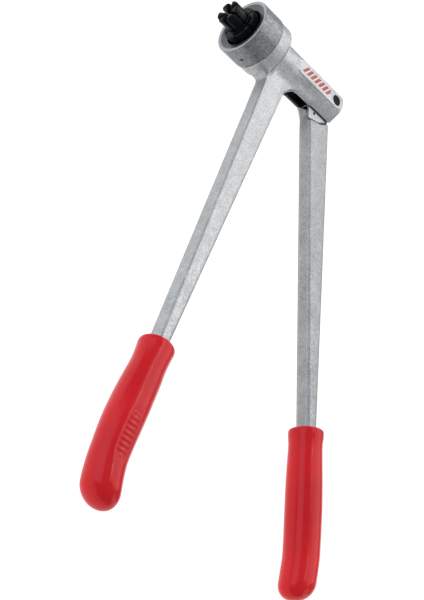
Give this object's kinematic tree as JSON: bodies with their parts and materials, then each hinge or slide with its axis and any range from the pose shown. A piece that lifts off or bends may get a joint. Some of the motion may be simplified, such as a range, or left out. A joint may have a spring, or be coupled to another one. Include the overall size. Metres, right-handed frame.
{
  "type": "tube flaring and expanding tool",
  "caption": "Hand lever tube expander: cast body with fixed handle, pivoted lever, cam-driven mandrel, and a segmented steel head that widens a tube end.",
  "frame": {"origin": "on the head axis, in the plane of the segments' collar where a tube end stops", "axes": "+X along the head axis out of the nose, +Y towards the grips, +Z out of the labelled side face"},
  "size_m": [0.2161, 0.4138, 0.045],
  "materials": {
    "cast_aluminium": "blasted casting",
    "black_steel": "black oxide",
    "ground_steel": "ground",
    "spring_steel": "drawn wire",
    "bronze": "turned",
    "ring_rubber": "matte",
    "red_vinyl": "dipped vinyl, satin gloss",
    "label_face": "printed label"
  },
  "bodies": {
    "body": {"body_casting": "cast_aluminium", "head_cap": "cast_aluminium", "thrust_washer": "ground_steel", "guide_bush": "bronze", "return_spring": "spring_steel", "segment_ring": "ring_rubber", "pivot_pin": "black_steel", "fixed_grip": "red_vinyl", "side_label": "label_face"},
    "lever": {"lever": "cast_aluminium", "cam_plate": "black_steel", "cam_rivets": "ground_steel", "pivot_bush": "bronze", "lever_grip": "red_vinyl"},
    "mandrel": {"mandrel": "ground_steel", "spring_washer": "ground_steel", "roller_axle": "black_steel"},
    "roller": {"cam_roller": "ground_steel"},
    "segment_1": {"segment_1": "black_steel"},
    "segment_2": {"segment_2": "black_steel"},
    "segment_3": {"segment_3": "black_steel"},
    "segment_4": {"segment_4": "black_steel"},
    "segment_5": {"segment_5": "black_steel"},
    "segment_6": {"segment_6": "black_steel"}
  },
  "joints": [
    {"name": "lever_hinge", "type": "hinge", "parent": "body", "child": "lever", "pos_m": [-0.099, 0, 0], "axis": [0, 0, -1], "range_deg": [0, 24], "stiffness_Nm_per_rad": 0.45, "springref_deg": -34.38},
    {"name": "mandrel_slide", "type": "slide", "parent": "body", "child": "mandrel", "axis": [1, 0, 0], "range_m": [0, 0.0055], "deforming": ["return_spring"]},
    {"name": "roller_spin", "type": "hinge", "parent": "mandrel", "child": "roller", "pos_m": [-0.0825, 0, 0], "axis": [0, 0, 1], "range_deg": [0, 60]},
    {"name": "segment_1_slide", "type": "slide", "parent": "body", "child": "segment_1", "axis": [0, 0.866, 0.5], "range_m": [0, 0.0011], "deforming": ["segment_ring"]},
    {"name": "segment_2_slide", "type": "slide", "parent": "body", "child": "segment_2", "axis": [0, 0, 1], "range_m": [0, 0.0011]},
    {"name": "segment_3_slide", "type": "slide", "parent": "body", "child": "segment_3", "axis": [0, -0.866, 0.5], "range_m": [0, 0.0011]},
    {"name": "segment_4_slide", "type": "slide", "parent": "body", "child": "segment_4", "axis": [0, -0.866, -0.5], "range_m": [0, 0.0011]},
    {"name": "segment_5_slide", "type": "slide", "parent": "body", "child": "segment_5", "axis": [0, 0, -1], "range_m": [0, 0.0011]},
    {"name": "segment_6_slide", "type": "slide", "parent": "body", "child": "segment_6", "axis": [0, 0.866, -0.5], "range_m": [0, 0.0011]}
  ],
  "couplings": [
    {"joint": "mandrel_slide", "follows": "lever_hinge", "m_per_rad": 0.01313},
    {"joint": "roller_spin", "follows": "lever_hinge", "ratio": 2.5},
    {"joint": "segment_1_slide", "follows": "lever_hinge", "m_per_rad": 0.0026261},
    {"joint": "segment_2_slide", "follows": "lever_hinge", "m_per_rad": 0.0026261},
    {"joint": "segment_3_slide", "follows": "lever_hinge", "m_per_rad": 0.0026261},
    {"joint": "segment_4_slide", "follows": "lever_hinge", "m_per_rad": 0.0026261},
    {"joint": "segment_5_slide", "follows": "lever_hinge", "m_per_rad": 0.0026261},
    {"joint": "segment_6_slide", "follows": "lever_hinge", "m_per_rad": 0.0026261}
  ]
}
